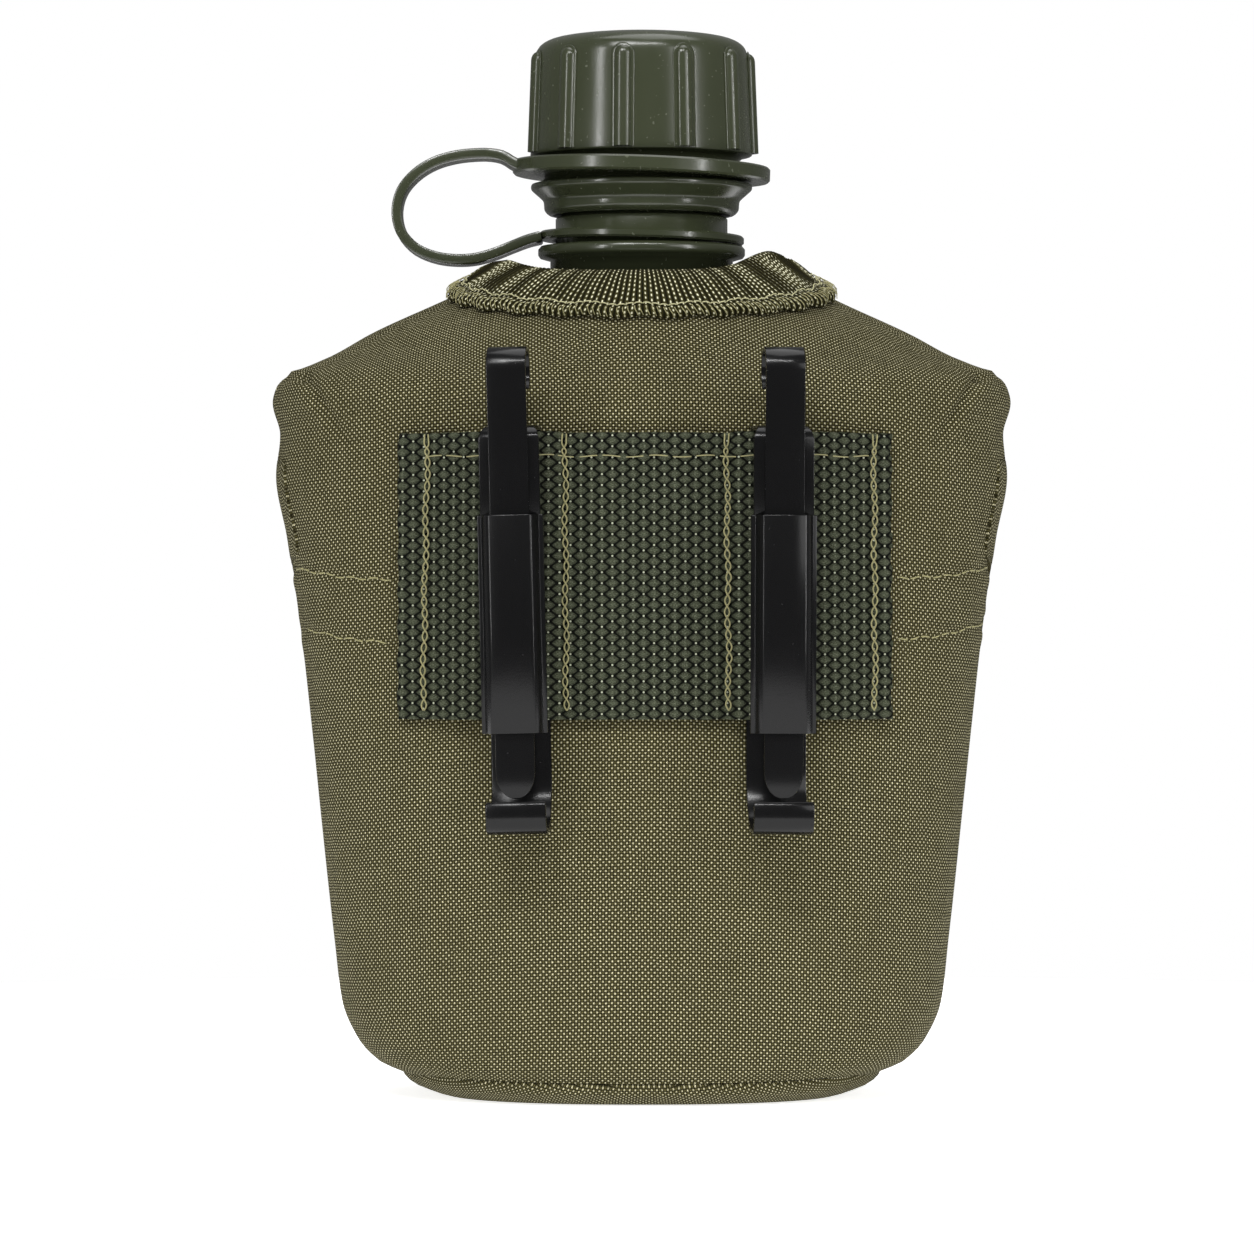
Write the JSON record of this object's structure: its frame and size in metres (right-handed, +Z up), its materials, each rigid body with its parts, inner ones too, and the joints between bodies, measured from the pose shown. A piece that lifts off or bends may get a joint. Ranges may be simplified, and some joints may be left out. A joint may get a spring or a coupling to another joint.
{
  "type": "canteen with fabric cover",
  "caption": "Oval plastic canteen with a ribbed, strapped screw cap in a lined fabric cover that has front flaps, a small pocket and belt keepers on a sewn webbing panel.",
  "frame": {"origin": "middle of the cover's flat base, on the cap's axis", "axes": "+Z up along the cap's axis, -Y out of the back that carries the webbing and the belt keepers, +X to the right when that back is looked at; the strap's loop is at -X"},
  "size_m": [0.1508, 0.1109, 0.2181],
  "materials": {
    "olive_plastic": "glossy moulded",
    "cover_fabric": "coarse plain weave",
    "webbing": "thick woven",
    "pile": "soft pile",
    "black_steel": "satin black",
    "dark_brass": "blackened",
    "gasket_rubber": "matte"
  },
  "bodies": {
    "bottle_and_cover": {"bottle_shell": "olive_plastic", "bottle_shoulder": "olive_plastic", "bottle_neck": "olive_plastic", "strap_neck_ring": "olive_plastic", "strap_band": "olive_plastic", "cover_back_panel": "cover_fabric", "cover_front_panel": "cover_fabric", "cover_bottom_panel": "cover_fabric", "pile_lining": "pile", "collar_binding": "cover_fabric", "webbing_panel": "webbing", "pocket_body": "cover_fabric", "pocket_loop_tape": "pile", "snap_stud_left": "dark_brass", "snap_stud_right": "dark_brass", "snap_post_left": "dark_brass", "snap_post_right": "dark_brass"},
    "cap_ring": {"strap_cap_ring": "olive_plastic"},
    "cap": {"screw_cap": "olive_plastic", "cap_gasket": "gasket_rubber"},
    "front_flap_left": {"flap_left": "cover_fabric", "snap_cap_left": "dark_brass", "snap_socket_left": "dark_brass"},
    "front_flap_right": {"flap_right": "cover_fabric", "snap_cap_right": "dark_brass", "snap_socket_right": "dark_brass"},
    "keeper_left": {"keeper_body_left": "black_steel"},
    "keeper_right": {"keeper_body_right": "black_steel"},
    "keeper_bar_left": {"keeper_slide_left": "black_steel"},
    "keeper_bar_right": {"keeper_slide_right": "black_steel"},
    "pocket_lid": {"pocket_flap": "cover_fabric", "pocket_hook_tape": "pile"}
  },
  "joints": [
    {"name": "cap_lift", "type": "slide", "parent": "bottle_and_cover", "child": "cap_ring", "axis": [0, 0, 1], "range_m": [0, 0.012], "deforming": ["strap_band"]},
    {"name": "cap_turn", "type": "hinge", "parent": "cap_ring", "child": "cap", "pos_m": [0, 0, 0.2], "axis": [0, 0, 1], "range_deg": [0, 865]},
    {"name": "flap_left_open", "type": "hinge", "parent": "bottle_and_cover", "child": "front_flap_left", "pos_m": [-0.04992, 0.00267, 0.15993], "axis": [0.8969, 0.0007, 0.4423], "range_deg": [0, 75]},
    {"name": "flap_right_open", "type": "hinge", "parent": "bottle_and_cover", "child": "front_flap_right", "pos_m": [0.04992, 0.00267, 0.15993], "axis": [0.8969, -0.0007, -0.4423], "range_deg": [0, 140]},
    {"name": "keeper_left_slide", "type": "slide", "parent": "bottle_and_cover", "child": "keeper_left", "axis": [-0.0229, -0.0011, 0.9997], "range_m": [0, 0.012]},
    {"name": "keeper_right_slide", "type": "slide", "parent": "bottle_and_cover", "child": "keeper_right", "axis": [0.0039, -0.004, 1], "range_m": [0, 0.012]},
    {"name": "keeper_bar_left_slide", "type": "slide", "parent": "keeper_left", "child": "keeper_bar_left", "axis": [-0.0229, -0.0011, 0.9997], "range_m": [0, 0.014]},
    {"name": "keeper_bar_right_slide", "type": "slide", "parent": "keeper_right", "child": "keeper_bar_right", "axis": [0.0039, -0.004, 1], "range_m": [0, 0.014]},
    {"name": "pocket_lid_open", "type": "hinge", "parent": "bottle_and_cover", "child": "pocket_lid", "pos_m": [0, 0.04118, 0.0797], "axis": [1, 0, 0], "range_deg": [0, 85]}
  ],
  "couplings": [
    {"joint": "cap_turn", "follows": "cap_lift", "rad_per_m": 1256.6}
  ]
}
